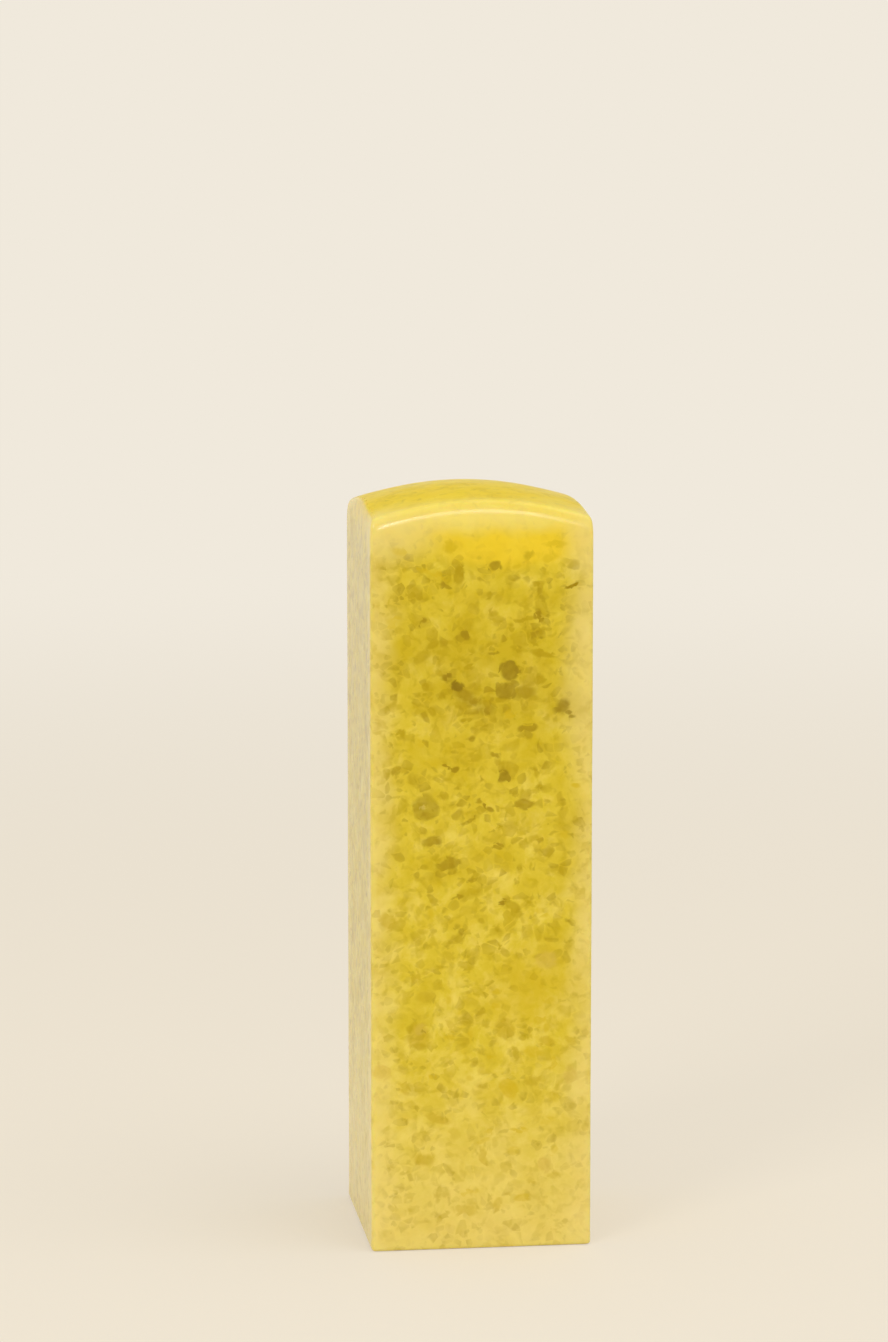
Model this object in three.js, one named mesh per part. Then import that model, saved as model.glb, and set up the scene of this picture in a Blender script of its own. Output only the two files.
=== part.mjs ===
// An upright seal stone: one square prism of polished soft stone, with a low cushion-shaped crown
// and a flat printing face underneath that has not been carved yet.
// Millimetres, +Z up. The origin is the middle of the printing face, and the front face looks along -Y.
import * as THREE from "three";

// The prism
const stoneWidth = 20; // between the left and right faces, along X
const stoneDepth = 20; // between the front and back faces, along Y
const stoneHeight = 68.7; // printing face to the highest point of the crown

// The crown, which bulges both ways
const crownFallToSides = 1.7; // how much lower the crown is at the middle of the left and right rims
const crownFallToFront = 0.9; // the same at the middle of the front and back rims

// The worked edges
const rimRadius = 1.3; // rubbed-down edge between the crown and the upright faces
const arrisRadius = 0.45; // the four upright edges
const baseEdgeRadius = 0.3; // the edge round the printing face

// How finely each stretch is divided
const faceSteps = 14;
const arrisSteps = 5;
const rimSteps = 6;
const crownSteps = 10;
const baseEdgeSteps = 3;

const halfWidth = stoneWidth / 2;
const halfDepth = stoneDepth / 2;
const quarterTurn = Math.PI / 2;

// The full section, counter-clockwise from above: four round arrises joined by straight faces
function sectionOutline() {
  const flatHalfWidth = halfWidth - arrisRadius;
  const flatHalfDepth = halfDepth - arrisRadius;
  const arrisCentres = [
    new THREE.Vector2(flatHalfWidth, flatHalfDepth),
    new THREE.Vector2(-flatHalfWidth, flatHalfDepth),
    new THREE.Vector2(-flatHalfWidth, -flatHalfDepth),
    new THREE.Vector2(flatHalfWidth, -flatHalfDepth),
  ];
  const arrises = arrisCentres.map((centre, corner) => {
    const start = corner * quarterTurn;
    return new THREE.EllipseCurve(centre.x, centre.y, arrisRadius, arrisRadius, start, start + quarterTurn);
  });
  const outline = [];
  arrises.forEach((arris, corner) => {
    const next = arrises[(corner + 1) % arrises.length];
    const face = new THREE.LineCurve(arris.getPoint(1), next.getPoint(0));
    outline.push(...arris.getPoints(arrisSteps).slice(0, -1));
    outline.push(...face.getPoints(faceSteps).slice(0, -1));
  });
  return outline;
}

// Height of the crown's surface over a point of the plan
function crownHeight(x, y) {
  const toSide = x / halfWidth;
  const toFront = y / halfDepth;
  return stoneHeight - crownFallToSides * toSide * toSide - crownFallToFront * toFront * toFront;
}

// The section drawn in from the upright faces by the same distance on all sides
function drawnIn(outline, inset) {
  const narrowX = 1 - inset / halfWidth;
  const narrowY = 1 - inset / halfDepth;
  return outline.map((point) => new THREE.Vector2(point.x * narrowX, point.y * narrowY));
}

// The rounded edge at the foot, from the printing face out to the upright faces
function baseEdgeRings(outline) {
  const rings = [];
  for (let step = 0; step <= baseEdgeSteps; step += 1) {
    const angle = (step / baseEdgeSteps) * quarterTurn;
    const inset = baseEdgeRadius * (1 - Math.sin(angle));
    const height = baseEdgeRadius * (1 - Math.cos(angle));
    rings.push(drawnIn(outline, inset).map((point) => new THREE.Vector3(point.x, point.y, height)));
  }
  return rings;
}

// The rubbed-down rim, from the top of the upright faces in to the crown
function rimRings(outline) {
  const rings = [];
  for (let step = 0; step <= rimSteps; step += 1) {
    const angle = (step / rimSteps) * quarterTurn;
    const inset = rimRadius * (1 - Math.cos(angle));
    const below = rimRadius * (1 - Math.sin(angle));
    const ring = drawnIn(outline, inset);
    rings.push(ring.map((point) => new THREE.Vector3(point.x, point.y, crownHeight(point.x, point.y) - below)));
  }
  return rings;
}

// The crown, from the rim in towards the highest point
function crownRings(outline) {
  const rim = drawnIn(outline, rimRadius);
  const rings = [];
  for (let step = 1; step < crownSteps; step += 1) {
    const share = 1 - step / crownSteps;
    const ring = rim.map((point) => point.clone().multiplyScalar(share));
    rings.push(ring.map((point) => new THREE.Vector3(point.x, point.y, crownHeight(point.x, point.y))));
  }
  return rings;
}

// One closed skin over rings that climb from the printing face to the crown
function closedSkin(rings) {
  const around = rings[0].length;
  const points = rings.flat();
  const faces = [];
  for (let level = 0; level + 1 < rings.length; level += 1) {
    for (let place = 0; place < around; place += 1) {
      const next = (place + 1) % around;
      const lower = level * around;
      const upper = lower + around;
      faces.push(lower + place, lower + next, upper + next);
      faces.push(lower + place, upper + next, upper + place);
    }
  }
  const footCentre = points.push(new THREE.Vector3(0, 0, 0)) - 1;
  const crownPeak = points.push(new THREE.Vector3(0, 0, stoneHeight)) - 1;
  const lastRing = (rings.length - 1) * around;
  for (let place = 0; place < around; place += 1) {
    const next = (place + 1) % around;
    faces.push(footCentre, next, place);
    faces.push(crownPeak, lastRing + place, lastRing + next);
  }
  const skin = new THREE.BufferGeometry().setFromPoints(points);
  skin.setIndex(faces);
  skin.computeVertexNormals();
  return skin;
}

function sealStone() {
  const outline = sectionOutline();
  const rings = [...baseEdgeRings(outline), ...rimRings(outline), ...crownRings(outline)];
  const polishedStone = new THREE.MeshStandardMaterial({ color: 0xd5ba40, roughness: 0.22, metalness: 0 });
  const stone = new THREE.Mesh(closedSkin(rings), polishedStone);
  stone.name = "seal_stone";
  return stone;
}

const sealStamp = new THREE.Group();
sealStamp.add(sealStone());

export default sealStamp;
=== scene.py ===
import math

import bmesh
import bpy
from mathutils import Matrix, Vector, noise


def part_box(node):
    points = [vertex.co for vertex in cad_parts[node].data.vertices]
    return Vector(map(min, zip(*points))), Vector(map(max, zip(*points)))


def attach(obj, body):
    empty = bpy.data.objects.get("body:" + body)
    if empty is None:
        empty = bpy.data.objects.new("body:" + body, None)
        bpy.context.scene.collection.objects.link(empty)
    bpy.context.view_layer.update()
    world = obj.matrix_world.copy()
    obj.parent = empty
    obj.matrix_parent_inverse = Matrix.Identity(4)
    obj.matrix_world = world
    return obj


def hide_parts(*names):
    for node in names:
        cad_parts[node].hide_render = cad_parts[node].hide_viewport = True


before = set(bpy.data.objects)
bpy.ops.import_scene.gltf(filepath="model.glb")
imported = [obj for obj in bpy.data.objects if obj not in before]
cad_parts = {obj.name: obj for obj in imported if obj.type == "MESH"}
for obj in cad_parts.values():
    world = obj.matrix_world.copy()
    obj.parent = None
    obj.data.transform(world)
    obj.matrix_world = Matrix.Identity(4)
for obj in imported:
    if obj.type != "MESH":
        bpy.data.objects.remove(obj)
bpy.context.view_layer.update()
scene = bpy.context.scene
mm = 0.001

stoneLow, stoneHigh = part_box("seal_stone")
halfWidth = stoneHigh.x
halfDepth = stoneHigh.y
stoneHeight = stoneHigh.z


def fromHex(code):
    # sRGB hex to the linear colour that shaders use
    parts = [int(code[i:i + 2], 16) / 255 for i in (1, 3, 5)]
    return [p / 12.92 if p <= 0.04045 else ((p + 0.055) / 1.055) ** 2.4 for p in parts] + [1.0]


def addNode(tree, kind, inputs=None, **settings):
    # adds one node, sets its options, then fills or links its inputs
    node = tree.nodes.new(kind)
    for name, value in settings.items():
        setattr(node, name, value)
    for socket, value in (inputs or {}).items():
        if isinstance(value, bpy.types.NodeSocket):
            tree.links.new(value, node.inputs[socket])
        else:
            node.inputs[socket].default_value = value
    return node


# Camera, on the photo's line of sight: a little left of the front face and a little above it
cameraSetup = {
    "lens": 109.0,            # mm
    "sensor": 36.0,           # mm, the picture's long side
    "clip": (0.01, 50.0),     # metres, nothing nearer or further is drawn
    "distance": 0.370,        # metres from the point looked at
    "turn": -7.4,             # degrees round the stone, negative shows its left face
    "raise": 7.6,             # degrees above level
    "aim": (-0.0021, 0.0003, 0.0513),    # metres
}


def makeCamera():
    turn = math.radians(cameraSetup["turn"])
    lift = math.radians(cameraSetup["raise"])
    back = Vector((math.sin(turn) * math.cos(lift), -math.cos(turn) * math.cos(lift), math.sin(lift)))
    data = bpy.data.cameras.new("photoCamera")
    data.lens = cameraSetup["lens"]
    data.sensor_width = cameraSetup["sensor"]
    data.clip_start, data.clip_end = cameraSetup["clip"]
    camera = bpy.data.objects.new("photoCamera", data)
    scene.collection.objects.link(camera)
    camera.location = Vector(cameraSetup["aim"]) + back * cameraSetup["distance"]
    camera.rotation_mode = "QUATERNION"
    camera.rotation_quaternion = (-back).to_track_quat("-Z", "Y")
    scene.camera = camera


makeCamera()
print("camera set")


# The stone's own shape. Loop cuts beside an edge set how soft it turns once the surface is subdivided.
stoneShape = {
    "arrisLoops": (0.75 * mm, 1.6 * mm),   # upright edges, quite crisp
    "rimLoops": (2.3 * mm, 4.6 * mm),      # rubbed down towards the crown
    "baseLoops": (0.5 * mm, 1.1 * mm),     # only just broken
    "bodyCuts": (12, 24, 36, 48, 58),      # mm above the base
    "crownCuts": (0, 2.6, 5.2),            # mm from the middle, both ways
    "crownFallSides": 1.7 * mm,
    "crownFallFront": 0.9 * mm,
    "crownReach": 6 * mm,                  # the crown's curve starts this far down the faces
    "crownGain": 1.8,                      # and is full 1 / 1.8 of the way up from there
    "subdivisions": 3,
    "handWave": 0.035 * mm,                # hand lapping leaves the faces this far from flat
    "handWaveLength": 9 * mm,
}


def crownFall(x, y):
    acrossFall = stoneShape["crownFallSides"] * (x / halfWidth) ** 2
    frontFall = stoneShape["crownFallFront"] * (y / halfDepth) ** 2
    return acrossFall + frontFall


def loopCut(bm, place, axis):
    direction = Vector((axis == 0, axis == 1, axis == 2))
    bmesh.ops.bisect_plane(
        bm, geom=bm.verts[:] + bm.edges[:] + bm.faces[:], dist=1e-7,
        plane_co=direction * place, plane_no=direction,
    )


def makeStone():
    bm = bmesh.new()
    bmesh.ops.create_cube(bm, size=1.0)
    bmesh.ops.translate(bm, verts=bm.verts, vec=(0, 0, 0.5))
    bmesh.ops.scale(bm, verts=bm.verts, vec=(2 * halfWidth, 2 * halfDepth, stoneHeight))

    for axis, half in ((0, halfWidth), (1, halfDepth)):
        for inset in stoneShape["arrisLoops"]:
            loopCut(bm, half - inset, axis)
            loopCut(bm, inset - half, axis)
        for cut in stoneShape["crownCuts"]:
            loopCut(bm, cut * mm, axis)
            loopCut(bm, -cut * mm, axis)
    for inset in stoneShape["baseLoops"]:
        loopCut(bm, inset, 2)
    for inset in stoneShape["rimLoops"]:
        loopCut(bm, stoneHeight - inset, 2)
    for cut in stoneShape["bodyCuts"]:
        loopCut(bm, cut * mm, 2)

    # the crown: the top and the loops just under the rim come down together
    for v in bm.verts:
        share = 1 - (stoneHeight - v.co.z) / stoneShape["crownReach"]
        if share > 0:
            v.co.z -= crownFall(v.co.x, v.co.y) * min(1.0, share * stoneShape["crownGain"])

    mesh = bpy.data.meshes.new("seal_stone_body")
    bm.to_mesh(mesh)
    bm.free()
    piece = bpy.data.objects.new("seal_stone_body", mesh)
    scene.collection.objects.link(piece)

    smoothing = piece.modifiers.new("softenedEdges", "SUBSURF")
    smoothing.levels = smoothing.render_levels = stoneShape["subdivisions"]
    finished = piece.evaluated_get(bpy.context.evaluated_depsgraph_get())
    smooth = bpy.data.meshes.new_from_object(finished)
    piece.modifiers.clear()
    piece.data = smooth
    smooth.name = "seal_stone_body"
    bpy.data.meshes.remove(mesh)

    # hand lapping: long shallow hollows, always inwards, none on the face it stands on
    bm = bmesh.new()
    bm.from_mesh(smooth)
    bm.normal_update()
    for v in bm.verts:
        if v.co.z < stoneShape["baseLoops"][1]:
            continue
        wave = noise.noise(v.co / stoneShape["handWaveLength"]) * 0.5 + 0.5    # 0 to 1
        v.co -= v.normal * stoneShape["handWave"] * wave
    bmesh.ops.recalc_face_normals(bm, faces=bm.faces)
    for face in bm.faces:
        face.smooth = True
    bm.to_mesh(smooth)
    bm.free()
    return piece


stone = makeStone()
print("stone shaped:", len(stone.data.polygons), "faces")


# Seal stone is agalmatolite, a very fine-grained pyrophyllite: soft, waxy and clear to a millimetre or two.
# Sawn square, lapped on wet paper and polished by hand, it has a soft gloss with faint lapping marks.
# Broken olive grains lie at all depths in a lighter yellow groundmass. Near ones are sharp, deep ones faint,
# and the thin arrises and the foot look milky because light comes through them from both sides. That glow,
# the pale floor's reflection in the foot and the light from above on the crown are painted into the colour.
sealStoneFinish = {
    "honeyGround": "#d6bd20",
    "yellowGround": "#e1ca39",
    "paleGround": "#efda60",
    # painted glow, where light comes through the thin arrises, the corners and the rims
    "paintedGlowTint": "#efdd8a",
    # painted glow and painted reflection of the pale floor, low on the stone
    "footGlowAndReflectionTint": "#f0dc88",
    # painted glow round the line of highlight along the rim
    "highlightGlowTint": "#f8e884",
    # painted light from above: the crown and the top of the faces golder and brighter
    "topLightTint": "#f9d92e",
    "olive": "#ba9e00",
    "deepOlive": "#a68900",
    "greyGreen": "#957900",
    "brownGold": "#c8aa19",
    "gold": "#d6b810",
    "roseGrey": "#dabd52",
    "wispTint": "#f0dc74",
    "ior": 1.56,               # pyrophyllite is 1.55 to 1.60
    "shine": 0.15,             # 0.5 is a full glassy reflection, a waxy stone has less
    "polish": 0.13,            # roughness where the polish is best
    "polishLoss": 0.07,        # added where the hand rubbed less
    "patchesPerMm": 0.5,       # of better and worse polish
    "patchDetail": 3.0,
    "footDullness": 0.35,      # added on the ground edge of the foot
    "footHeights": (0.12, 0.02),    # mm up, where that edge starts and is full
    "crownDullness": 0.15,     # added on the crown, which is rubbed but not polished flat
    "crownFacing": (0.7, 0.95),     # how far the surface faces up, 1 is level, where it starts and is full
    "lapsPerMm": (3.5, 3.5, 0.12),  # lapping marks, drawn out upwards and as coarse as they need to show
    "lapDetail": 3.0,
    "lapDepth": 0.0008,        # mm
    "rimOil": 0.6,             # oil from the hand leaves the rubbed rim glossier than the faces
    "oilFacing": (0.02, 0.1),  # how far the surface faces up where the oil starts and is full
    "oilEnds": (0.32, 0.5),    # and where it gives way to the crown
    "oilRoughness": 0.1,
    "oilIor": 1.5,
    "clearness": 0.45,         # share of the light that travels inside the stone
    "clearDepth": 1.3,         # mm
    "clearRatio": (1.0, 0.75, 0.2),    # of that depth, for red, green and blue
}

# Zones of the stone, along lines that waver: where each starts and is full in mm, how far it hides the
# grains, and its tint with how far that covers the ground. The tints are painted light: glow through thin
# parts and near the rim's highlight, the floor's reflection in the foot, and light from above on the crown.
stoneZones = {
    # painted glow of light through the thin arrises, from the middle of the faces outwards
    "arrisGlow": {"starts": 6.8, "full": 10.6, "hides": 0.5, "tint": "paintedGlowTint", "covers": 0.7},
    # painted glow and painted reflection of the pale floor at the foot, and painted light from above on the
    # crown, by the height above the base
    "foot": {"starts": 20.0, "full": -2.0, "hides": 0.3, "tint": "footGlowAndReflectionTint", "covers": 0.55},
    "crown": {"starts": 63.0, "full": 67.0, "hides": 0.7, "tint": "topLightTint", "covers": 0.75},
    # painted glow near the highlight on the rims of the front and the back, outwards from the middle plane
    # and upwards from rimCentre
    "rim": {"starts": 8.0, "full": 10.2, "tint": "paintedGlowTint", "covers": 0.35},
    # the front face, from the middle plane towards the camera
    "front": {"starts": -8.0, "full": -9.5, "hides": 0.2},
}

# How the pattern lies in the stone. A swirl is its reach in mm, its wavelength in mm and its detail.
stonePattern = {
    "grainSwirls": ((1.2, 3.2, 1.0), (0.16, 0.6, 2.0)),    # of the ground, the stains and the grains
    "zoneSwirl": (3.0, 3.5, 2.0),
    "rimCentre": 57.4,             # mm up, where the rim zone's height is counted from
    "outlineSwirl": (0.25, 0.7, 1.5),
    "outlineChips": (0.42, 0.9),   # reach and size in mm of the chips that break the front grains' outlines
    "cloudsPerMm": 0.3,
    "cloudDetail": 5.0,
    "cloudRoughness": 0.62,
    "cloudSteps": (0.34, 0.5, 0.68),    # cloud values at which the ground is honey, yellow and pale
    "paleHeights": (8.0, 50.0),         # mm up, between which the clouds get deeper
    "paleShift": (0.08, -0.06),         # of the cloud value below and above that
    "clearHeights": (12.0, 50.0),       # mm up, between which the grains get clearer
    "clarity": (0.58, 0.88),            # of the grains in all the faces below and above that
    "frontClarity": (0.7, 1.0),         # of the front face's own grains below and above that
    "stainDistortion": 0.4,
    "depthsPerMm": 1.6,            # of colour inside the front face's own grains
    "depthDetail": 1.0,
    "solidity": (0.8, 1.0),        # of those grains where the colour is thin and deep
}
noiseSpan = (0.35, 0.65)         # most of a noise lies between these
noiseMiddle = (0.5, 0.5, 0.5)    # of a noise's or a cell's colour

# Generations of grains, each laid over the one before: cell size in mm, share of the cells that are grains,
# from how weakly to how strongly they show, from how sharp to how blurred they are in cells, a seed that
# shifts the cells, and their turn in radians
grainGenerations = (
    {"size": 2.2, "share": 0.34, "tint": "gold", "showing": (0.05, 0.6), "blur": (0.3, 0.8),
     "seed": 3.0, "turn": (0.2, 0.1, 0.0), "stretch": (1, 1, 1), "outline": "EUCLIDEAN"},
    {"size": 1.25, "share": 0.4, "tint": "olive", "showing": (0.05, 1.0), "blur": (0.05, 0.3),
     "seed": 11.0, "turn": (0.1, 0.15, 0.1), "stretch": (1, 1, 1), "outline": "CHEBYCHEV"},
    {"size": 0.85, "share": 0.36, "tint": "deepOlive", "showing": (0.0, 1.0), "blur": (0.06, 0.3),
     "seed": 23.0, "turn": (0.5, -0.5, 0.3), "stretch": (1, 1, 1.1), "outline": "EUCLIDEAN"},
    {"size": 0.6, "share": 0.2, "tint": "deepOlive", "showing": (0.1, 0.9), "blur": (0.1, 0.4),
     "seed": 31.0, "turn": (0.2, 0.6, 0.1), "stretch": (1, 1, 1), "outline": "CHEBYCHEV"},
)

# Large grains for the faces that turn away from the front, which has its own below
awayGrain = {
    "size": 2.3, "share": 0.1, "tint": "greyGreen", "showing": (0.15, 0.6), "blur": (0.15, 0.45),
    "seed": 47.0, "turn": (0.3, 0.4, 0.2), "stretch": (1, 1, 1), "outline": "EUCLIDEAN",
}

# The one straight break of each of those grains, in cells
grainBreak = {
    "place": (-0.15, 0.5),    # from behind the grain's middle to ahead of it
    "softness": 0.14,
    "thinning": 0.7,          # the colour thins over this way behind the break
    "thinnest": 0.5,          # to this share
    "shuffle": 7.0,           # draws more luck from a cell's colour
}

# Stains that run the grains together: wavelength in mm, where the noise starts to show and is full, strength
oliveStains = (
    {"wavelength": 1.1, "detail": 2.0, "starts": 0.52, "full": 0.68, "strength": 0.6},
    {"wavelength": 3.4, "detail": 3.0, "starts": 0.5, "full": 0.75, "strength": 0.4},
)

# Wide soft patches of the front face, by tint, in the same form as the grains below; all but the olive and
# gold patches are painted light
frontHazes = {
    "olive": ((0.0, 52.0, 8.0, 4.5, -20, 0.22, 0.9),),
    # painted light from above, a golden band under the rim
    "topLightTint": ((3.0, 63.6, 6.0, 1.6, 0, 0.7, 0.6),),
    # painted glow just under the rim's highlight
    "highlightGlowTint": ((0.5, 66.3, 9.0, 1.1, 0, 0.7, 0.9),),
    # painted glow of light through the upper corners and down the right arris
    "paintedGlowTint": (
        (-8.6, 65.0, 4.2, 2.0, 0, 0.6, 0.7), (9.8, 64.5, 2.0, 3.6, 0, 0.5, 0.6),
        (8.8, 52.0, 1.6, 7.0, 0, 0.3, 0.7),
    ),
    "gold": ((4.4, 24.0, 4.0, 3.0, 25, 0.45, 0.8),),
}

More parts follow.
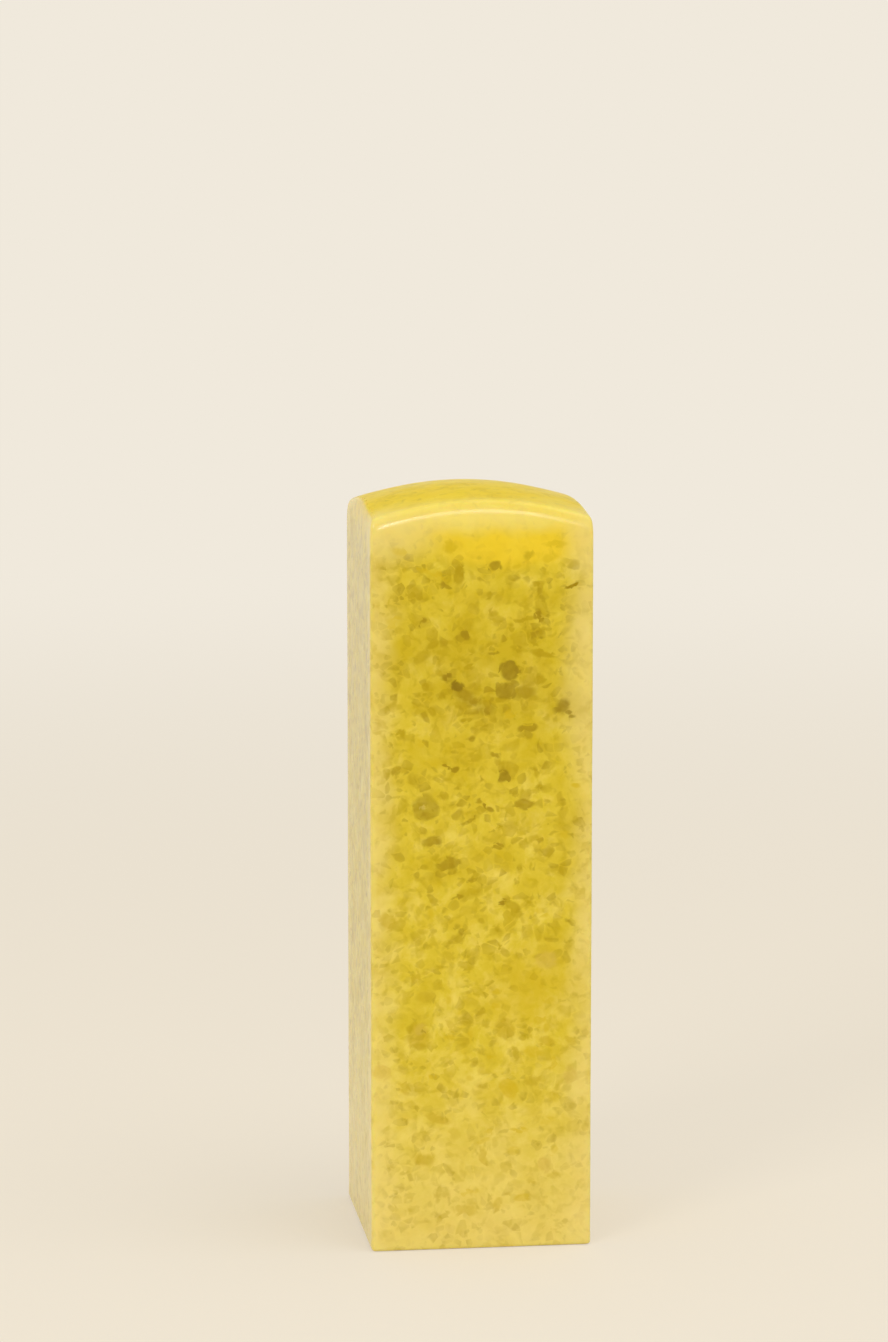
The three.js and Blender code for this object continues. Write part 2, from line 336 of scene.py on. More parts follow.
# The grains that the front face cuts, by tint, each an uneven oval: mm across from the middle, mm up,
# half sizes in mm, turn in degrees anticlockwise, strength, softness of the outline
frontGrains = {
    "gold": (
        (-2.9, 63.7, 0.6, 0.5, 0, 0.8, 0.4), (-7.4, 63.3, 0.8, 0.35, -15, 0.45, 0.5),
        (-5.2, 61.6, 0.9, 0.2, -35, 0.6, 0.4), (-3.8, 61.1, 0.9, 0.22, -10, 0.6, 0.4),
        (3, 61.9, 0.45, 0.25, 0, 0.7, 0.35), (6.4, 63.8, 0.9, 0.25, -5, 0.6, 0.4),
        (5.9, 62.7, 0.6, 0.4, 0, 0.6, 0.4), (-8, 57.1, 0.6, 0.4, 0, 0.55, 0.4),
        (2.4, 48.7, 0.5, 0.35, 30, 0.7, 0.35), (-5.6, 46.1, 0.4, 0.3, 0, 0.55, 0.4),
        (8.3, 42.2, 0.45, 0.25, -10, 0.8, 0.4), (7.4, 37.8, 0.55, 0.35, -30, 0.5, 0.45),
        (5.3, 30.7, 0.5, 0.3, 0, 0.6, 0.4), (-4.7, 31, 0.25, 0.5, 0, 0.55, 0.4),
        (1.2, 23.7, 0.45, 0.3, 10, 0.85, 0.35), (-3, 22.9, 0.3, 0.45, 0, 0.6, 0.4),
        (1.3, 22.3, 0.35, 0.25, -25, 0.7, 0.4), (6, 22.6, 0.5, 0.3, 0, 0.7, 0.4),
        (5.3, 20.9, 0.6, 0.4, 20, 0.85, 0.3), (6, 20.2, 0.3, 0.5, 0, 0.6, 0.4),
        (-4.8, 21.5, 0.2, 0.25, 0, 0.7, 0.4), (-2.9, 19.7, 0.4, 0.35, 0, 0.7, 0.4),
        (-1, 19.6, 0.25, 0.35, 0, 0.65, 0.4), (4.6, 18.1, 0.8, 0.45, 0, 0.7, 0.35),
        (0.8, 17.7, 0.4, 0.25, 0, 0.7, 0.35), (-4.5, 16.1, 0.35, 0.22, -40, 0.75, 0.35),
        (-1.1, 15.7, 0.4, 0.25, 0, 0.7, 0.4), (6.5, 17, 0.3, 0.6, -15, 0.6, 0.35),
        (2.5, 14.6, 0.7, 1.05, 25, 0.95, 0.2), (0.8, 10.7, 0.4, 0.25, 0, 0.7, 0.35),
        (0.1, 10, 0.7, 0.2, 10, 0.55, 0.4), (3.3, 10.9, 0.8, 0.15, -20, 0.75, 0.4),
        (5.9, 11.6, 0.6, 0.3, 0, 0.5, 0.4), (2.7, 9, 0.6, 0.3, 0, 0.5, 0.4),
        (6.5, 8.8, 0.35, 0.35, 0, 0.6, 0.4), (-1.1, 5.2, 0.75, 0.22, 0, 0.5, 0.35),
        (3.6, 4.7, 0.75, 0.35, 0, 0.7, 0.3),
    ),
    "brownGold": (
        (-8.4, 30.2, 0.8, 0.75, 0, 0.65, 0.25), (-6.1, 25.2, 0.35, 0.5, 0, 0.75, 0.35),
        (-5.2, 25.6, 0.5, 0.2, 15, 0.65, 0.35), (-5.2, 23.4, 0.85, 0.5, 15, 0.6, 0.3),
        (-5.7, 19.7, 1.1, 1.25, 10, 0.75, 0.18), (-2.8, 20.8, 0.6, 0.4, -25, 0.65, 0.3),
        (2.1, 20.2, 1, 0.8, -35, 0.7, 0.2), (5.8, 19, 0.6, 0.4, 0, 0.8, 0.3),
        (8, 18.9, 0.5, 0.4, -30, 0.6, 0.35), (-7.1, 15.1, 0.4, 0.7, 25, 0.75, 0.3),
        (4.5, 15.4, 0.8, 0.5, 15, 0.7, 0.25), (6.4, 13.8, 0.5, 0.4, 0, 0.5, 0.35),
        (-3.9, 12, 1.1, 0.5, -20, 0.75, 0.25), (-2.4, 10.7, 0.5, 0.5, 0, 0.5, 0.35),
        (-5.2, 8.4, 0.85, 0.65, 0, 0.85, 0.3), (0.2, 8.3, 0.4, 0.7, 20, 0.7, 0.3),
        (6.5, 6.5, 0.5, 0.4, 0, 0.55, 0.35), (4.5, 6, 0.5, 0.22, -50, 0.55, 0.4),
        (2.2, 5, 0.45, 0.3, 0, 0.5, 0.35), (-1.6, 3.7, 0.95, 0.6, 0, 0.6, 0.3),
        (1.4, 4, 0.4, 0.55, -25, 0.6, 0.3),
    ),
    "roseGrey": (
        (5.7, 26.5, 0.8, 0.75, 0, 0.65, 0.35), (-5.6, 20.3, 0.5, 0.5, 0, 0.6, 0.4),
        (-9, 16.5, 0.95, 0.65, 0, 0.8, 0.25), (8, 15.7, 0.55, 0.75, 0, 0.85, 0.3),
        (5.8, 7.6, 0.65, 0.75, 0, 1, 0.2),
    ),
    "olive": (
        (-2, 61.2, 0.5, 0.95, 5, 0.95, 0.2), (-6.4, 59.4, 0.3, 0.4, 0, 0.65, 0.35),
        (-0.2, 62.8, 0.3, 0.3, 0, 0.5, 0.4), (4, 62.9, 0.5, 0.4, 0, 0.6, 0.4),
        (7.8, 62.2, 0.8, 0.4, 0, 0.35, 0.4), (2.4, 60.5, 0.4, 0.65, 0, 0.45, 0.4),
        (4.8, 60.3, 0.5, 0.2, -10, 0.7, 0.3), (0.6, 59.2, 0.35, 0.35, 0, 0.85, 0.3),
        (4.9, 59.1, 0.4, 0.25, 10, 0.45, 0.4), (1, 57.8, 0.45, 0.35, 0, 0.7, 0.3),
        (1.4, 57.2, 0.65, 0.5, 0, 0.55, 0.25), (3.7, 57.2, 1.3, 0.22, -5, 0.75, 0.3),
        (-1.3, 56.5, 0.5, 0.4, 0, 0.5, 0.4), (2.6, 56.5, 0.3, 0.3, 0, 0.7, 0.35),
        (4.2, 55.8, 0.15, 0.6, 0, 0.7, 0.3), (5.3, 56.3, 0.25, 0.4, 0, 0.75, 0.3),
        (-4.5, 54.9, 0.7, 0.3, 30, 0.75, 0.35), (-3.3, 55.2, 0.9, 0.35, -5, 0.5, 0.35),
        (-5.4, 53.9, 0.8, 0.5, 25, 0.65, 0.3), (-1, 54.5, 0.3, 0.3, 0, 0.7, 0.35),
        (0.4, 54.9, 0.45, 0.25, 30, 0.7, 0.35), (3.1, 54.5, 0.55, 0.2, 0, 0.65, 0.35),
        (4.7, 54.9, 0.3, 0.2, -10, 0.7, 0.3), (5.5, 54, 1.15, 0.35, -15, 0.8, 0.25),
        (-2.4, 53.7, 0.5, 0.3, 0, 0.45, 0.4), (-1.3, 53, 0.6, 0.22, 15, 0.8, 0.3),
        (1.7, 50, 0.5, 0.25, 10, 0.7, 0.3), (3.8, 50.7, 0.8, 0.55, 0, 0.65, 0.3),
        (4.5, 50.1, 0.5, 0.3, 0, 0.6, 0.35), (-3.7, 52.7, 0.4, 0.25, -50, 0.65, 0.35),
        (-1.4, 50.5, 0.85, 0.55, -30, 0.8, 0.3), (-0.6, 50.1, 0.5, 0.3, -20, 0.6, 0.35),
        (-1.7, 49.6, 0.7, 0.3, 0, 0.5, 0.4), (0.3, 49.8, 0.25, 0.5, 30, 0.8, 0.35),
        (5.2, 51.8, 0.65, 0.45, 40, 0.75, 0.3), (-5.1, 51.1, 0.35, 0.4, 0, 0.8, 0.35),
        (-3.6, 50.4, 0.45, 0.4, 0, 0.6, 0.4), (7.9, 49.4, 1.4, 1.2, 0, 0.25, 0.7),
        (5.8, 48.2, 0.3, 0.4, 30, 0.6, 0.4), (-4.3, 49, 0.3, 0.5, 35, 0.8, 0.3),
        (-1.5, 48.3, 0.5, 0.22, 20, 0.8, 0.35), (-7.3, 47.1, 0.35, 0.5, 0, 0.8, 0.35),
        (-0.7, 45, 0.6, 0.35, 0, 0.6, 0.4), (-1.5, 43.8, 0.4, 0.25, 0, 0.55, 0.4),
        (-7.3, 43.9, 0.5, 0.35, 0, 0.5, 0.35), (2.3, 43.7, 1, 0.95, 0, 0.55, 0.15),
        (4.8, 43.6, 0.3, 0.6, 0, 0.7, 0.3), (5.1, 42.4, 0.2, 0.35, 0, 0.6, 0.35),
        (-2.9, 42.7, 0.6, 0.25, -15, 0.45, 0.4), (-5.2, 39.6, 0.8, 0.4, 0, 0.4, 0.35),
        (-3.3, 41.4, 0.5, 0.3, -40, 0.75, 0.3), (4, 41.4, 0.5, 0.6, 0, 0.6, 0.3),
        (2.6, 38.4, 0.9, 0.75, 0, 0.55, 0.3), (1.6, 38.5, 0.35, 0.15, -30, 0.75, 0.35),
        (4.8, 37.4, 0.6, 0.35, 0, 0.5, 0.35), (6.1, 36.3, 0.45, 0.7, 0, 0.5, 0.35),
        (-4.1, 36, 0.35, 0.3, 0, 0.55, 0.4), (-5.2, 34.9, 0.4, 0.25, -15, 0.75, 0.35),
        (3.4, 34.7, 0.35, 0.45, 0, 0.6, 0.35), (4.3, 34.9, 0.15, 0.4, 0, 0.6, 0.35),
        (-0.6, 34.2, 0.3, 0.3, 0, 0.7, 0.35), (-1.1, 32.6, 1.1, 0.6, 15, 0.5, 0.3),
        (2.7, 31.5, 1, 0.5, -30, 0.85, 0.25), (3.1, 31, 0.6, 0.5, 0, 0.7, 0.3),
        (4.4, 31.7, 0.6, 0.22, -30, 0.5, 0.4), (0, 30, 0.4, 0.3, -20, 0.7, 0.35),
        (1.3, 29.3, 0.3, 0.45, -20, 0.75, 0.35), (-4.2, 32, 0.4, 0.2, 0, 0.55, 0.4),
        (-5.7, 31.2, 0.3, 0.5, -25, 0.5, 0.4), (-5.4, 29.3, 0.5, 0.3, 0, 0.5, 0.4),
        (-4.4, 29.1, 0.4, 0.3, 0, 0.55, 0.4), (2, 27.3, 0.65, 0.3, -50, 0.8, 0.3),
        (-3, 27, 0.5, 0.32, -20, 0.55, 0.35), (-1.3, 26.1, 0.75, 0.45, 0, 0.65, 0.25),
        (-3.7, 26, 0.6, 0.25, -15, 0.55, 0.35), (-6.5, 20.5, 0.4, 0.35, 0, 0.7, 0.35),
        (-5.7, 18.8, 0.7, 0.35, 0, 0.6, 0.35), (-1.5, 21, 0.55, 0.25, -10, 0.65, 0.35),
        (0.5, 20.7, 0.3, 0.5, -25, 0.65, 0.35), (3.8, 19.5, 0.4, 0.25, 0, 0.8, 0.35),
        (3, 17.9, 0.35, 0.6, 15, 0.75, 0.3), (-0.8, 16.9, 0.45, 0.3, 35, 0.85, 0.35),
        (-2.5, 14.4, 0.6, 0.3, 0, 0.55, 0.35), (0, 14.9, 0.5, 0.3, 0, 0.65, 0.4),
        (-5.2, 10.9, 0.22, 0.75, 5, 0.55, 0.35), (-7.1, 7.1, 0.45, 0.22, 10, 0.55, 0.35),
        (-3.9, 5.2, 0.25, 0.7, -15, 0.5, 0.35), (-3.2, 3.2, 0.5, 0.28, 15, 0.6, 0.35),
        (-8.1, 4.1, 0.4, 0.22, -40, 0.45, 0.4),
    ),
    "deepOlive": (
        (-3.2, 60.2, 0.5, 0.35, -20, 0.8, 0.25), (1, 61.9, 0.6, 0.4, 15, 0.85, 0.25),
        (7.9, 60, 0.6, 0.2, 25, 1, 0.25), (5.1, 57.5, 0.3, 0.5, -30, 0.9, 0.25),
        (-5.2, 57, 0.35, 0.3, 0, 0.8, 0.3), (-1.5, 55.8, 0.3, 0.4, 0, 0.85, 0.3),
        (5.4, 55.7, 0.25, 0.2, -20, 1, 0.25), (1.1, 54.1, 0.4, 0.15, 5, 0.7, 0.35),
        (-3, 52.2, 0.45, 0.3, -30, 0.85, 0.3), (4.1, 47.5, 0.85, 0.4, 0, 0.8, 0.2),
        (4, 47, 0.4, 0.5, 0, 0.6, 0.3), (-1.1, 46.5, 0.3, 0.25, 0, 0.75, 0.35),
        (1.2, 45.1, 0.4, 0.25, -10, 0.75, 0.35), (-3, 44.1, 0.4, 0.15, -15, 0.95, 0.3),
        (-2.4, 44, 0.4, 0.25, 30, 0.95, 0.3), (-0.3, 40.8, 0.4, 0.25, -20, 0.85, 0.3),
        (0.5, 40.3, 0.45, 0.22, -25, 0.95, 0.3), (-1, 39.3, 0.4, 0.2, 20, 0.75, 0.35),
        (3.9, 40.5, 0.95, 0.55, 5, 0.85, 0.2), (-4.5, 37.3, 0.75, 0.4, 0, 0.75, 0.3),
        (1.4, 36.8, 0.5, 0.18, -10, 0.85, 0.3), (-3, 35.3, 0.95, 0.6, 5, 0.8, 0.2),
        (-6, 34.3, 0.3, 0.3, 0, 0.65, 0.35), (-2.2, 32.4, 0.5, 0.22, 15, 0.8, 0.3),
        (1.8, 31.8, 0.4, 0.15, -5, 1, 0.3), (-2.2, 29.6, 0.3, 0.35, 20, 0.75, 0.35),
        (-1.8, 29, 0.3, 0.45, 0, 0.7, 0.35), (-5.3, 20.2, 0.2, 0.25, 0, 1, 0.35),
    ),
    "greyGreen": (
        (-1.3, 50.3, 1.7, 0.6, -35, 0.42, 0.45), (0.2, 49.2, 0.9, 0.5, -20, 0.4, 0.4),
        (3.6, 50.6, 1.1, 0.6, 10, 0.35, 0.45), (-3.0, 51.9, 0.7, 0.35, -45, 0.4, 0.4),
        (2.4, 52.6, 0.85, 0.95, 0, 0.78, 0.18), (2.5, 53.4, 0.5, 0.18, 0, 0.8, 0.3),
        (2.2, 50.8, 1, 0.8, 0, 0.7, 0.2), (1.6, 51.2, 0.35, 0.35, 0, 0.6, 0.3),
        (2.8, 51.4, 0.5, 0.3, -15, 0.6, 0.3), (-2.1, 51.2, 0.55, 0.45, -35, 1, 0.3),
        (7.2, 49.2, 0.65, 0.65, 0, 0.75, 0.4), (7.8, 48.6, 0.4, 0.2, 0, 0.7, 0.35),
        (1.9, 43.2, 0.6, 0.55, 0, 0.75, 0.25), (-5.1, 40.4, 1.1, 1.2, 0, 0.52, 0.2),
    ),
    "wispTint": (
        (-5.4, 40.4, 0.22, 0.22, 0, 0.5, 0.5),
    ),
}


def addGeneration(tree, place, below, grain, clarity):
    # one generation of broken grains, laid over the colour below
    size, share = grain["size"], grain["share"]
    moved = addNode(
        tree, "ShaderNodeMapping",
        {
            "Vector": place, "Location": (grain["seed"],) * 3,
            "Rotation": grain["turn"], "Scale": grain["stretch"],
        },
    ).outputs[0]
    nearest = addNode(
        tree, "ShaderNodeTexVoronoi", {"Vector": moved, "Scale": 1 / size}, distance=grain["outline"],
    )
    second = addNode(
        tree, "ShaderNodeTexVoronoi", {"Vector": moved, "Scale": 1 / size},
        distance=grain["outline"], feature="F2",
    )
    lot = addNode(tree, "ShaderNodeSeparateColor", {0: nearest.outputs["Color"]})
    isGrain = addNode(tree, "ShaderNodeMath", {0: lot.outputs[0], 1: share}, operation="LESS_THAN")

    # every cell draws its own blur, break and strength
    draw = addNode(
        tree, "ShaderNodeVectorMath", {0: nearest.outputs["Color"], 1: (1 / share, 1, 1)},
        operation="MULTIPLY",
    )
    shuffled = addNode(
        tree, "ShaderNodeVectorMath", {0: draw.outputs[0], "Scale": grainBreak["shuffle"]},
        operation="SCALE",
    )
    luck = addNode(tree, "ShaderNodeVectorMath", {0: shuffled.outputs[0]}, operation="FRACTION")
    lucks = addNode(tree, "ShaderNodeSeparateXYZ", {0: luck.outputs[0]})
    sharpest, softest = grain["blur"]
    blur = addNode(tree, "ShaderNodeMapRange", {0: lucks.outputs[0], 3: sharpest, 4: softest})
    faint, strong = grain["showing"]
    showing = addNode(tree, "ShaderNodeMapRange", {0: lucks.outputs[1], 3: faint, 4: strong})
    behind, ahead = grainBreak["place"]
    breakPlace = addNode(
        tree, "ShaderNodeMapRange", {0: lucks.outputs[2], 3: behind * size, 4: ahead * size},
    )

    # the outline: the cell's edge, and one straight break across it, where the grain is thickest
    gap = addNode(
        tree, "ShaderNodeMath", {0: second.outputs["Distance"], 1: nearest.outputs["Distance"]},
        operation="SUBTRACT",
    )
    body = addNode(
        tree, "ShaderNodeMapRange", {0: gap.outputs[0], 2: blur.outputs[0]},
        interpolation_type="SMOOTHSTEP",
    )
    centred = addNode(
        tree, "ShaderNodeVectorMath", {0: draw.outputs[0], 1: noiseMiddle}, operation="SUBTRACT",
    )
    heading = addNode(tree, "ShaderNodeVectorMath", {0: centred.outputs[0]}, operation="NORMALIZE")
    fromMiddle = addNode(
        tree, "ShaderNodeVectorMath", {0: moved, 1: nearest.outputs["Position"]}, operation="SUBTRACT",
    )
    along = addNode(
        tree, "ShaderNodeVectorMath", {0: fromMiddle.outputs[0], 1: heading.outputs[0]},
        operation="DOT_PRODUCT",
    )
    past = addNode(
        tree, "ShaderNodeMath", {0: along.outputs["Value"], 1: breakPlace.outputs[0]},
        operation="SUBTRACT",
    )
    softness = grainBreak["softness"] * size
    kept = addNode(
        tree, "ShaderNodeMapRange", {0: past.outputs[0], 1: softness, 2: -softness},
        interpolation_type="SMOOTHSTEP",
    )
    thinning = grainBreak["thinning"] * size
    thickness = addNode(
        tree, "ShaderNodeMapRange",
        {0: past.outputs[0], 1: -thinning, 2: 0.0, 3: grainBreak["thinnest"], 4: 1.0},
    )

    amount = clarity
    for factor in (isGrain, body, kept, thickness, showing):
        amount = addNode(
            tree, "ShaderNodeMath", {0: amount, 1: factor.outputs[0]}, operation="MULTIPLY",
        ).outputs[0]
    tint = fromHex(sealStoneFinish[grain["tint"]])
    return addNode(tree, "ShaderNodeMix", {0: amount, 6: below, 7: tint}, data_type="RGBA").outputs[2]


leanStep = 15    # degrees; near leans share one turned place, because the renderer's stack holds only a few


def nearestLean(lean):
    return leanStep * round(lean / leanStep)


def turnedPlaces(tree, place, groups):
    # the place turned once for each step of lean that the grains have
    leans = sorted({nearestLean(grain[4]) for grains in groups.values() for grain in grains})
    return {
        lean: addNode(
            tree, "ShaderNodeMapping", {"Vector": place, "Rotation": (0, math.radians(lean), 0)},
        ).outputs[0]
        for lean in leans
    }


def addFrontGrains(tree, places, below, tint, grains, solidity):
    # the front grains of one tint, laid over the colour below; where two meet, the stronger one counts
    amount = 0.0
    for across, up, halfAcross, halfUp, lean, strength, softness in grains:
        turn = math.radians(nearestLean(lean))
        middle = (
            across * math.cos(turn) + up * math.sin(turn),
            -halfDepth / mm,
            up * math.cos(turn) - across * math.sin(turn),
        )
        halves = (halfAcross, (halfAcross + halfUp) / 2, halfUp)
        local = addNode(
            tree, "ShaderNodeVectorMath",
            {
                0: places[nearestLean(lean)],
                1: [1 / half for half in halves],
                2: [-centre / half for centre, half in zip(middle, halves)],
            },
            operation="MULTIPLY_ADD",
        )
        reach = addNode(tree, "ShaderNodeVectorMath", {0: local.outputs[0]}, operation="LENGTH")
        # unclamped: a clamp on each would fill the renderer's stack
        body = addNode(
            tree, "ShaderNodeMapRange",
            {0: reach.outputs["Value"], 1: 1 + softness, 2: 1 - softness, 3: 0.0, 4: strength},
            interpolation_type="SMOOTHSTEP", clamp=False,
        )
        amount = addNode(
            tree, "ShaderNodeMath", {0: body.outputs[0], 1: amount}, operation="MAXIMUM",
        ).outputs[0]
    shown = addNode(tree, "ShaderNodeMath", {0: amount, 1: solidity}, operation="MULTIPLY")
    colour = fromHex(sealStoneFinish[tint])
    return addNode(
        tree, "ShaderNodeMix", {0: shown.outputs[0], 6: below, 7: colour}, data_type="RGBA",
    ).outputs[2]


def shifted(tree, place, colour, reach):
    # the place, moved along each axis by up to half of reach either way, as the colour says
    centred = addNode(tree, "ShaderNodeVectorMath", {0: colour, 1: noiseMiddle}, operation="SUBTRACT")
    scaled = addNode(
        tree, "ShaderNodeVectorMath", {0: centred.outputs[0], "Scale": reach}, operation="SCALE",
    )
    return addNode(tree, "ShaderNodeVectorMath", {0: place, 1: scaled.outputs[0]}).outputs[0]


def stirred(tree, place, reach, wavelength, detail):
    # the place, shifted by a soft noise
    swirl = addNode(
        tree, "ShaderNodeTexNoise", {"Vector": place, "Scale": 1 / wavelength, "Detail": detail},
    )
    return shifted(tree, place, swirl.outputs["Color"], reach)


def broken(tree, place, reach, chipSize):
    # the place, shifted chip by chip, so that outlines turn angular
    chips = addNode(tree, "ShaderNodeTexVoronoi", {"Vector": place, "Scale": 1 / chipSize})
    return shifted(tree, place, chips.outputs["Color"], reach)


def zoneMasks(tree, place):
    # one mask for each zone, 0 outside it and 1 well inside
    wavering = addNode(
        tree, "ShaderNodeSeparateXYZ", {0: stirred(tree, place, *stonePattern["zoneSwirl"])},
    )
    across = addNode(tree, "ShaderNodeMath", {0: wavering.outputs[0]}, operation="ABSOLUTE")
    deep = addNode(tree, "ShaderNodeMath", {0: wavering.outputs[1]}, operation="ABSOLUTE")
    nearArris = addNode(
        tree, "ShaderNodeMath", {0: across.outputs[0], 1: deep.outputs[0]}, operation="MINIMUM",
    )
    underCrown = addNode(
        tree, "ShaderNodeMath", {0: wavering.outputs[2], 1: stonePattern["rimCentre"]},
        operation="SUBTRACT",
    )
    nearRim = addNode(
        tree, "ShaderNodeMath", {0: deep.outputs[0], 1: underCrown.outputs[0]}, operation="MINIMUM",
    )
    measures = {
        "arrisGlow": nearArris.outputs[0], "foot": wavering.outputs[2], "crown": wavering.outputs[2],
        "rim": nearRim.outputs[0], "front": wavering.outputs[1],
    }
    return {
        name: addNode(
            tree, "ShaderNodeMapRange",
            {0: measure, 1: stoneZones[name]["starts"], 2: stoneZones[name]["full"]},
            interpolation_type="SMOOTHSTEP",
        ).outputs[0]
        for name, measure in measures.items()
    }


def grainClarity(tree, height, masks):
    # how clearly the grains show: less towards the foot, and less inside the zones
    low, high = stonePattern["clearHeights"]
    faint, clear = stonePattern["clarity"]
    rising = addNode(tree, "ShaderNodeMapRange", {0: height, 1: low, 2: high, 3: faint, 4: clear})
    clarity = rising.outputs[0]
    for name, zone in stoneZones.items():
        if "hides" in zone:
            left = addNode(tree, "ShaderNodeMapRange", {0: masks[name], 3: 1.0, 4: 1 - zone["hides"]})
            clarity = addNode(
                tree, "ShaderNodeMath", {0: clarity, 1: left.outputs[0]}, operation="MULTIPLY",
            ).outputs[0]
    return clarity


def groundmass(tree, place, height, masks):
    # honey to pale clouds, paler towards the foot, under the zones' tints of painted glow, painted
    # reflection and painted light from above
    clouds = addNode(
        tree, "ShaderNodeTexNoise",
        {
            "Vector": place, "Scale": stonePattern["cloudsPerMm"],
            "Detail": stonePattern["cloudDetail"], "Roughness": stonePattern["cloudRoughness"],
        },
    )
    low, high = stonePattern["paleHeights"]
    paler, deeper = stonePattern["paleShift"]
    rise = addNode(tree, "ShaderNodeMapRange", {0: height, 1: low, 2: high, 3: paler, 4: deeper})
    cloudy = addNode(tree, "ShaderNodeMath", {0: clouds.outputs["Fac"], 1: rise.outputs[0]})
    honeyAt, yellowAt, paleAt = stonePattern["cloudSteps"]
    honeyToYellow = addNode(tree, "ShaderNodeMapRange", {0: cloudy.outputs[0], 1: honeyAt, 2: yellowAt})
    yellowToPale = addNode(tree, "ShaderNodeMapRange", {0: cloudy.outputs[0], 1: yellowAt, 2: paleAt})
    colour = fromHex(sealStoneFinish["honeyGround"])
    for step, tint in ((honeyToYellow, "yellowGround"), (yellowToPale, "paleGround")):
        colour = addNode(
            tree, "ShaderNodeMix",
            {0: step.outputs[0], 6: colour, 7: fromHex(sealStoneFinish[tint])}, data_type="RGBA",
        ).outputs[2]

    # painted light: glow at the arrises, foot and rims, reflection at the foot, light from above on the
    # crown
    for name, zone in stoneZones.items():
        if "tint" in zone:
            veil = addNode(
                tree, "ShaderNodeMath", {0: masks[name], 1: zone["covers"]}, operation="MULTIPLY",
            )
            colour = addNode(
                tree, "ShaderNodeMix",
                {0: veil.outputs[0], 6: colour, 7: fromHex(sealStoneFinish[zone["tint"]])},
                data_type="RGBA",
            ).outputs[2]
    return colour


def addStain(tree, place, below, stain, clarity):
    # one kind of olive stain, laid over the colour below
    spread = addNode(
        tree, "ShaderNodeTexNoise",
        {
            "Vector": place, "Scale": 1 / stain["wavelength"],
            "Detail": stain["detail"], "Distortion": stonePattern["stainDistortion"],
        },
    )
    depth = addNode(
        tree, "ShaderNodeMapRange",
        {0: spread.outputs["Fac"], 1: stain["starts"], 2: stain["full"], 4: stain["strength"]},
        interpolation_type="SMOOTHSTEP",
    )
    amount = addNode(tree, "ShaderNodeMath", {0: depth.outputs[0], 1: clarity}, operation="MULTIPLY")
    return addNode(
        tree, "ShaderNodeMix",
        {0: amount.outputs[0], 6: below, 7: fromHex(sealStoneFinish["olive"])}, data_type="RGBA",
    ).outputs[2]


def grainSolidity(tree, place, height):
    # the uneven depth of colour inside the front grains, which also get fainter towards the foot
    depths = addNode(
        tree, "ShaderNodeTexNoise",
        {
            "Vector": place, "Scale": stonePattern["depthsPerMm"],
            "Detail": stonePattern["depthDetail"],
        },
    )
    lowNoise, highNoise = noiseSpan
    thin, thick = stonePattern["solidity"]
    uneven = addNode(
        tree, "ShaderNodeMapRange",
        {0: depths.outputs["Fac"], 1: lowNoise, 2: highNoise, 3: thin, 4: thick},
    )
    low, high = stonePattern["clearHeights"]
    faint, full = stonePattern["frontClarity"]
    fainter = addNode(tree, "ShaderNodeMapRange", {0: height, 1: low, 2: high, 3: faint, 4: full})
    return addNode(
        tree, "ShaderNodeMath", {0: uneven.outputs[0], 1: fainter.outputs[0]}, operation="MULTIPLY",
    ).outputs[0]


def stoneColour(tree, place, height):
    # the ground with its zones, stains and grains, from the deepest to the nearest
    grainPlace = place
    for reach, wavelength, detail in stonePattern["grainSwirls"]:
        grainPlace = stirred(tree, grainPlace, reach, wavelength, detail)
    masks = zoneMasks(tree, place)
    clarity = grainClarity(tree, height, masks)
    colour = groundmass(tree, grainPlace, height, masks)
    for stain in oliveStains:
        colour = addStain(tree, grainPlace, colour, stain, clarity)
    for grain in grainGenerations:
        colour = addGeneration(tree, grainPlace, colour, grain, clarity)
    offFront = addNode(tree, "ShaderNodeMapRange", {0: masks["front"], 3: 1.0, 4: 0.0})
    awayClarity = addNode(
        tree, "ShaderNodeMath", {0: clarity, 1: offFront.outputs[0]}, operation="MULTIPLY",
    )
    colour = addGeneration(tree, grainPlace, colour, awayGrain, awayClarity.outputs[0])

    hazePlaces = turnedPlaces(tree, grainPlace, frontHazes)
    for tint, hazes in frontHazes.items():
        colour = addFrontGrains(tree, hazePlaces, colour, tint, hazes, 1.0)

    waveringPlace = stirred(tree, place, *stonePattern["outlineSwirl"])
    unevenPlace = broken(tree, waveringPlace, *stonePattern["outlineChips"])
    solidity = grainSolidity(tree, grainPlace, height)
    unevenPlaces = turnedPlaces(tree, unevenPlace, frontGrains)
    for tint, grains in frontGrains.items():
        colour = addFrontGrains(tree, unevenPlaces, colour, tint, grains, solidity)
    return colour


def polishRoughness(tree, place, height, facingUp):
    # duller in patches, on the crown and on the foot, which is only ground
    rubbed = addNode(
        tree, "ShaderNodeTexNoise",
        {
            "Vector": place, "Scale": sealStoneFinish["patchesPerMm"],
            "Detail": sealStoneFinish["patchDetail"],
        },
    )
    lowNoise, highNoise = noiseSpan
    best = sealStoneFinish["polish"]
    worst = best + sealStoneFinish["polishLoss"]
    polish = addNode(
        tree, "ShaderNodeMapRange",
        {0: rubbed.outputs["Fac"], 1: lowNoise, 2: highNoise, 3: best, 4: worst},
    )
    starts, full = sealStoneFinish["footHeights"]
    onFoot = addNode(
        tree, "ShaderNodeMapRange",
        {0: height, 1: starts, 2: full, 3: 0.0, 4: sealStoneFinish["footDullness"]},
    )
    roughness = addNode(tree, "ShaderNodeMath", {0: polish.outputs[0], 1: onFoot.outputs[0]})
    starts, full = sealStoneFinish["crownFacing"]
    onCrown = addNode(
        tree, "ShaderNodeMapRange",
        {0: facingUp, 1: starts, 2: full, 4: sealStoneFinish["crownDullness"]},
    )
    return addNode(tree, "ShaderNodeMath", {0: roughness.outputs[0], 1: onCrown.outputs[0]}).outputs[0]


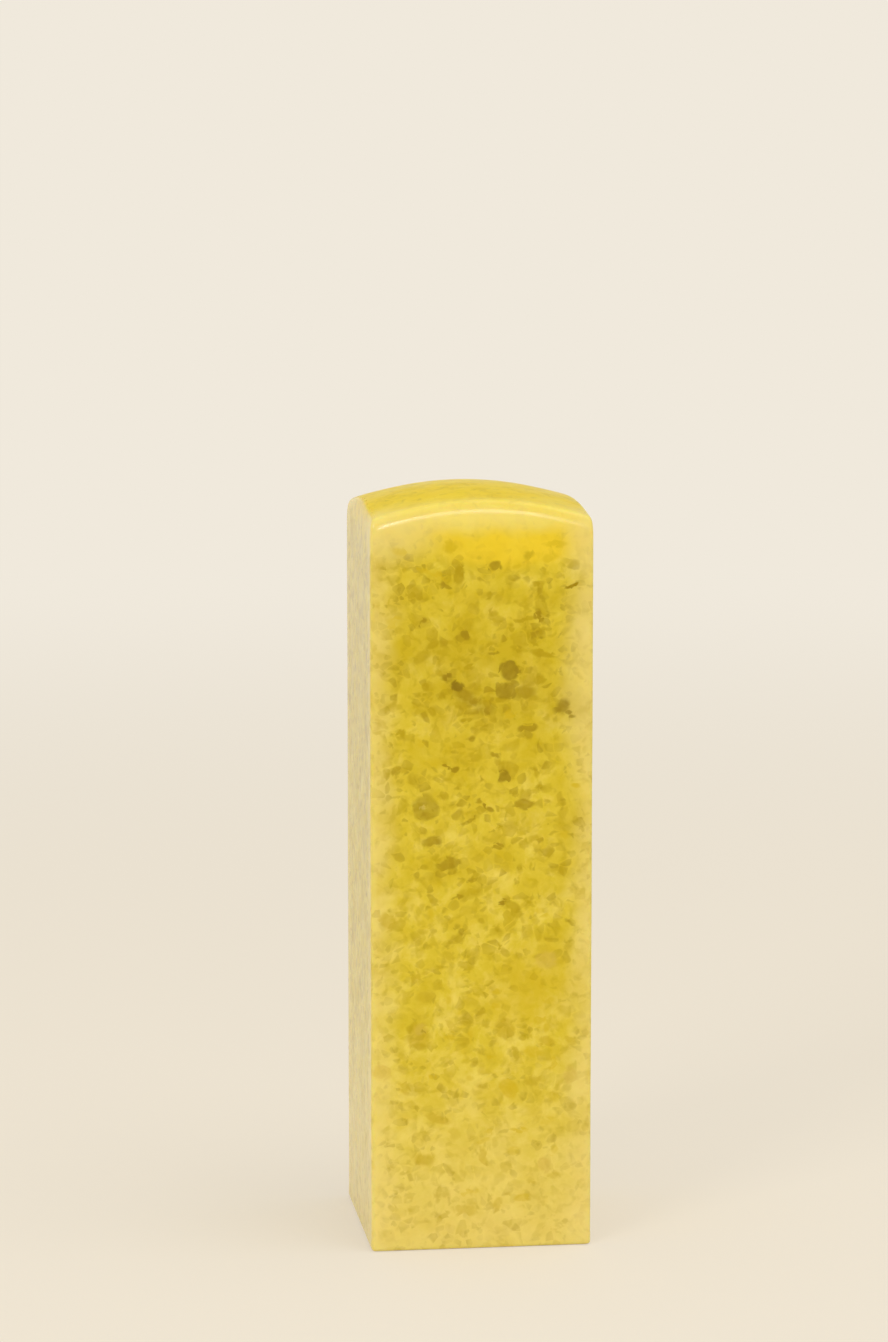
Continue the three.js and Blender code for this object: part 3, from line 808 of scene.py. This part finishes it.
def lappingBump(tree, place):
    # fine upright marks
    lapping = addNode(
        tree, "ShaderNodeMapping", {"Vector": place, "Scale": sealStoneFinish["lapsPerMm"]},
    )
    marks = addNode(
        tree, "ShaderNodeTexNoise",
        {"Vector": lapping.outputs[0], "Scale": 1.0, "Detail": sealStoneFinish["lapDetail"]},
    )
    return addNode(
        tree, "ShaderNodeBump",
        {
            "Height": marks.outputs["Fac"], "Strength": 1.0,
            "Distance": sealStoneFinish["lapDepth"] * mm,
        },
    ).outputs[0]


def oilOnRim(tree, facing):
    # the rim faces upwards a little: the printing face, the upright faces and the crown carry less oil
    starts, full = sealStoneFinish["oilFacing"]
    turnsUp = addNode(
        tree, "ShaderNodeMapRange",
        {0: facing.outputs[2], 1: starts, 2: full, 4: sealStoneFinish["rimOil"]},
        interpolation_type="SMOOTHSTEP",
    )
    fades, gone = sealStoneFinish["oilEnds"]
    turnsFlat = addNode(
        tree, "ShaderNodeMapRange", {0: facing.outputs[2], 1: fades, 2: gone, 3: 1.0, 4: 0.0},
        interpolation_type="SMOOTHSTEP",
    )
    along = addNode(tree, "ShaderNodeMath", {0: facing.outputs[1]}, operation="ABSOLUTE")
    oil = addNode(
        tree, "ShaderNodeMath", {0: turnsUp.outputs[0], 1: turnsFlat.outputs[0]}, operation="MULTIPLY",
    )
    return addNode(
        tree, "ShaderNodeMath", {0: oil.outputs[0], 1: along.outputs[0]}, operation="MULTIPLY",
    ).outputs[0]


def polishedSealStone():
    material = bpy.data.materials.new("polishedSealStone")
    material.use_nodes = True
    tree = material.node_tree
    tree.nodes.clear()
    look = sealStoneFinish

    coordinates = addNode(tree, "ShaderNodeTexCoord")
    place = addNode(
        tree, "ShaderNodeMapping", {"Vector": coordinates.outputs["Object"], "Scale": (1 / mm,) * 3},
    ).outputs[0]
    height = addNode(tree, "ShaderNodeSeparateXYZ", {0: place}).outputs[2]
    colour = stoneColour(tree, place, height)
    geometry = addNode(tree, "ShaderNodeNewGeometry")
    facing = addNode(tree, "ShaderNodeSeparateXYZ", {0: geometry.outputs["Normal"]})
    roughness = polishRoughness(tree, place, height, facing.outputs[2])
    bump = lappingBump(tree, place)
    oil = oilOnRim(tree, facing)

    shader = addNode(
        tree, "ShaderNodeBsdfPrincipled",
        {
            "Coat Weight": oil, "Coat Roughness": look["oilRoughness"], "Coat IOR": look["oilIor"],
            "Base Color": colour, "Roughness": roughness, "Normal": bump, "IOR": look["ior"],
            "Specular IOR Level": look["shine"],
            "Subsurface Weight": look["clearness"], "Subsurface Radius": look["clearRatio"],
            "Subsurface Scale": look["clearDepth"] * mm,
        },
    )
    addNode(tree, "ShaderNodeOutputMaterial", {"Surface": shader.outputs[0]})
    return material


stone.data.materials.clear()
stone.data.materials.append(polishedSealStone())
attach(stone, "root")
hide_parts("seal_stone")
print("stone finished")


# Plain pale studio: a wide floor that fades into the backdrop, a soft key from the right and above,
# a soft fill from the front left, and two small low lamps in front that only draw the line along the rim
studio = {
    "floorRadius": 3.0,             # metres
    "floorSides": 96,
    "floorColour": "#f8ebd3",
    "floorRoughness": 0.8,
    "floorShine": 0.2,
    "backdropColour": "#f0e9dc",
    "roomColour": "#d9bf78",        # above the backdrop, where only the crown sees it
    "backdropTop": (7.0, 12.0),     # degrees above level, where the backdrop starts to give way and is gone
    "floorFade": (0.08, 0.55),      # metres from the stone's middle, from its own colour to the backdrop's
    "floorGlow": 0.5,               # share of the backdrop's colour in the floor beside the stone
    "skyLight": 0.62,               # strength of the even white light from all round
    "lamps": (
        # name, place in metres, width and height in metres, watts
        ("keyLamp", (0.20, -0.14, 0.60), 0.45, 0.45, 0.98),
        ("frontLamp", (0.09, -0.62, 0.12), 0.09, 0.07, 0.08),
        ("frontLampEnd", (0.026, -0.60, 0.12), 0.014, 0.06, 0.045),
        ("leftLamp", (-0.40, -0.46, 0.30), 0.22, 0.22, 1.00),
    ),
}


def seenDirectly(tree):
    # 1 for what the camera sees, straight or mirrored, and 0 for light on its way to the stone
    path = addNode(tree, "ShaderNodeLightPath")
    mirrored = addNode(
        tree, "ShaderNodeMath",
        {0: path.outputs["Is Glossy Ray"], 1: path.outputs["Is Transmission Ray"]},
        operation="MAXIMUM",
    )
    seen = addNode(
        tree, "ShaderNodeMath", {0: path.outputs["Is Camera Ray"], 1: mirrored.outputs[0]},
        operation="MAXIMUM",
    )
    return seen.outputs[0]


def makeFloor():
    bm = bmesh.new()
    bmesh.ops.create_circle(
        bm, cap_ends=True, radius=studio["floorRadius"], segments=studio["floorSides"],
    )
    mesh = bpy.data.meshes.new("studio_floor")
    bm.to_mesh(mesh)
    bm.free()
    floor = bpy.data.objects.new("studio_floor", mesh)
    scene.collection.objects.link(floor)

    material = bpy.data.materials.new("mattPaperFloor")
    material.use_nodes = True
    tree = material.node_tree
    tree.nodes.clear()
    paper = addNode(
        tree, "ShaderNodeBsdfPrincipled",
        {
            "Base Color": fromHex(studio["floorColour"]), "Roughness": studio["floorRoughness"],
            "Specular IOR Level": studio["floorShine"],
        },
    )
    backdrop = addNode(tree, "ShaderNodeEmission", {"Color": fromHex(studio["backdropColour"])})
    place = addNode(tree, "ShaderNodeTexCoord")
    away = addNode(tree, "ShaderNodeVectorMath", {0: place.outputs["Object"]}, operation="LENGTH")
    near, far = studio["floorFade"]
    fade = addNode(
        tree, "ShaderNodeMapRange",
        {0: away.outputs["Value"], 1: near, 2: far, 3: studio["floorGlow"], 4: 1.0},
        interpolation_type="SMOOTHSTEP",
    )
    shown = addNode(
        tree, "ShaderNodeMath", {0: fade.outputs[0], 1: seenDirectly(tree)}, operation="MULTIPLY",
    )
    both = addNode(
        tree, "ShaderNodeMixShader",
        {0: shown.outputs[0], 1: paper.outputs[0], 2: backdrop.outputs[0]},
    )
    addNode(tree, "ShaderNodeOutputMaterial", {"Surface": both.outputs[0]})
    mesh.materials.append(material)


def makeLamp(name, place, width, height, power):
    data = bpy.data.lights.new(name, "AREA")
    data.shape = "RECTANGLE"
    data.size = width
    data.size_y = height
    data.energy = power
    lamp = bpy.data.objects.new(name, data)
    scene.collection.objects.link(lamp)
    lamp.location = place
    toStone = Vector((0, 0, stoneHeight / 2)) - Vector(place)
    lamp.rotation_mode = "QUATERNION"
    lamp.rotation_quaternion = toStone.to_track_quat("-Z", "Y")
    lamp.visible_camera = False    # out of the picture from every side, still mirrored in the polish


def makeSky():
    world = bpy.data.worlds.new("backdropAndRoom")
    scene.world = world
    world.use_nodes = True
    tree = world.node_tree
    tree.nodes.clear()
    direction = addNode(tree, "ShaderNodeTexCoord")
    height = addNode(tree, "ShaderNodeSeparateXYZ", {0: direction.outputs["Generated"]})
    starts, gone = (math.sin(math.radians(angle)) for angle in studio["backdropTop"])
    aboveBackdrop = addNode(
        tree, "ShaderNodeMapRange", {0: height.outputs[2], 1: starts, 2: gone},
        interpolation_type="SMOOTHSTEP",
    )
    surroundings = addNode(
        tree, "ShaderNodeMix",
        {
            0: aboveBackdrop.outputs[0], 6: fromHex(studio["backdropColour"]),
            7: fromHex(studio["roomColour"]),
        },
        data_type="RGBA",
    )
    lighting = addNode(
        tree, "ShaderNodeBackground", {"Color": (1, 1, 1, 1), "Strength": studio["skyLight"]},
    )
    showing = addNode(tree, "ShaderNodeBackground", {"Color": surroundings.outputs[2]})
    both = addNode(
        tree, "ShaderNodeMixShader", {0: seenDirectly(tree), 1: lighting.outputs[0], 2: showing.outputs[0]},
    )
    addNode(tree, "ShaderNodeOutputWorld", {"Surface": both.outputs[0]})


makeFloor()
for lamp in studio["lamps"]:
    makeLamp(*lamp)
makeSky()
scene.view_settings.view_transform = "Standard"
print("studio lit")
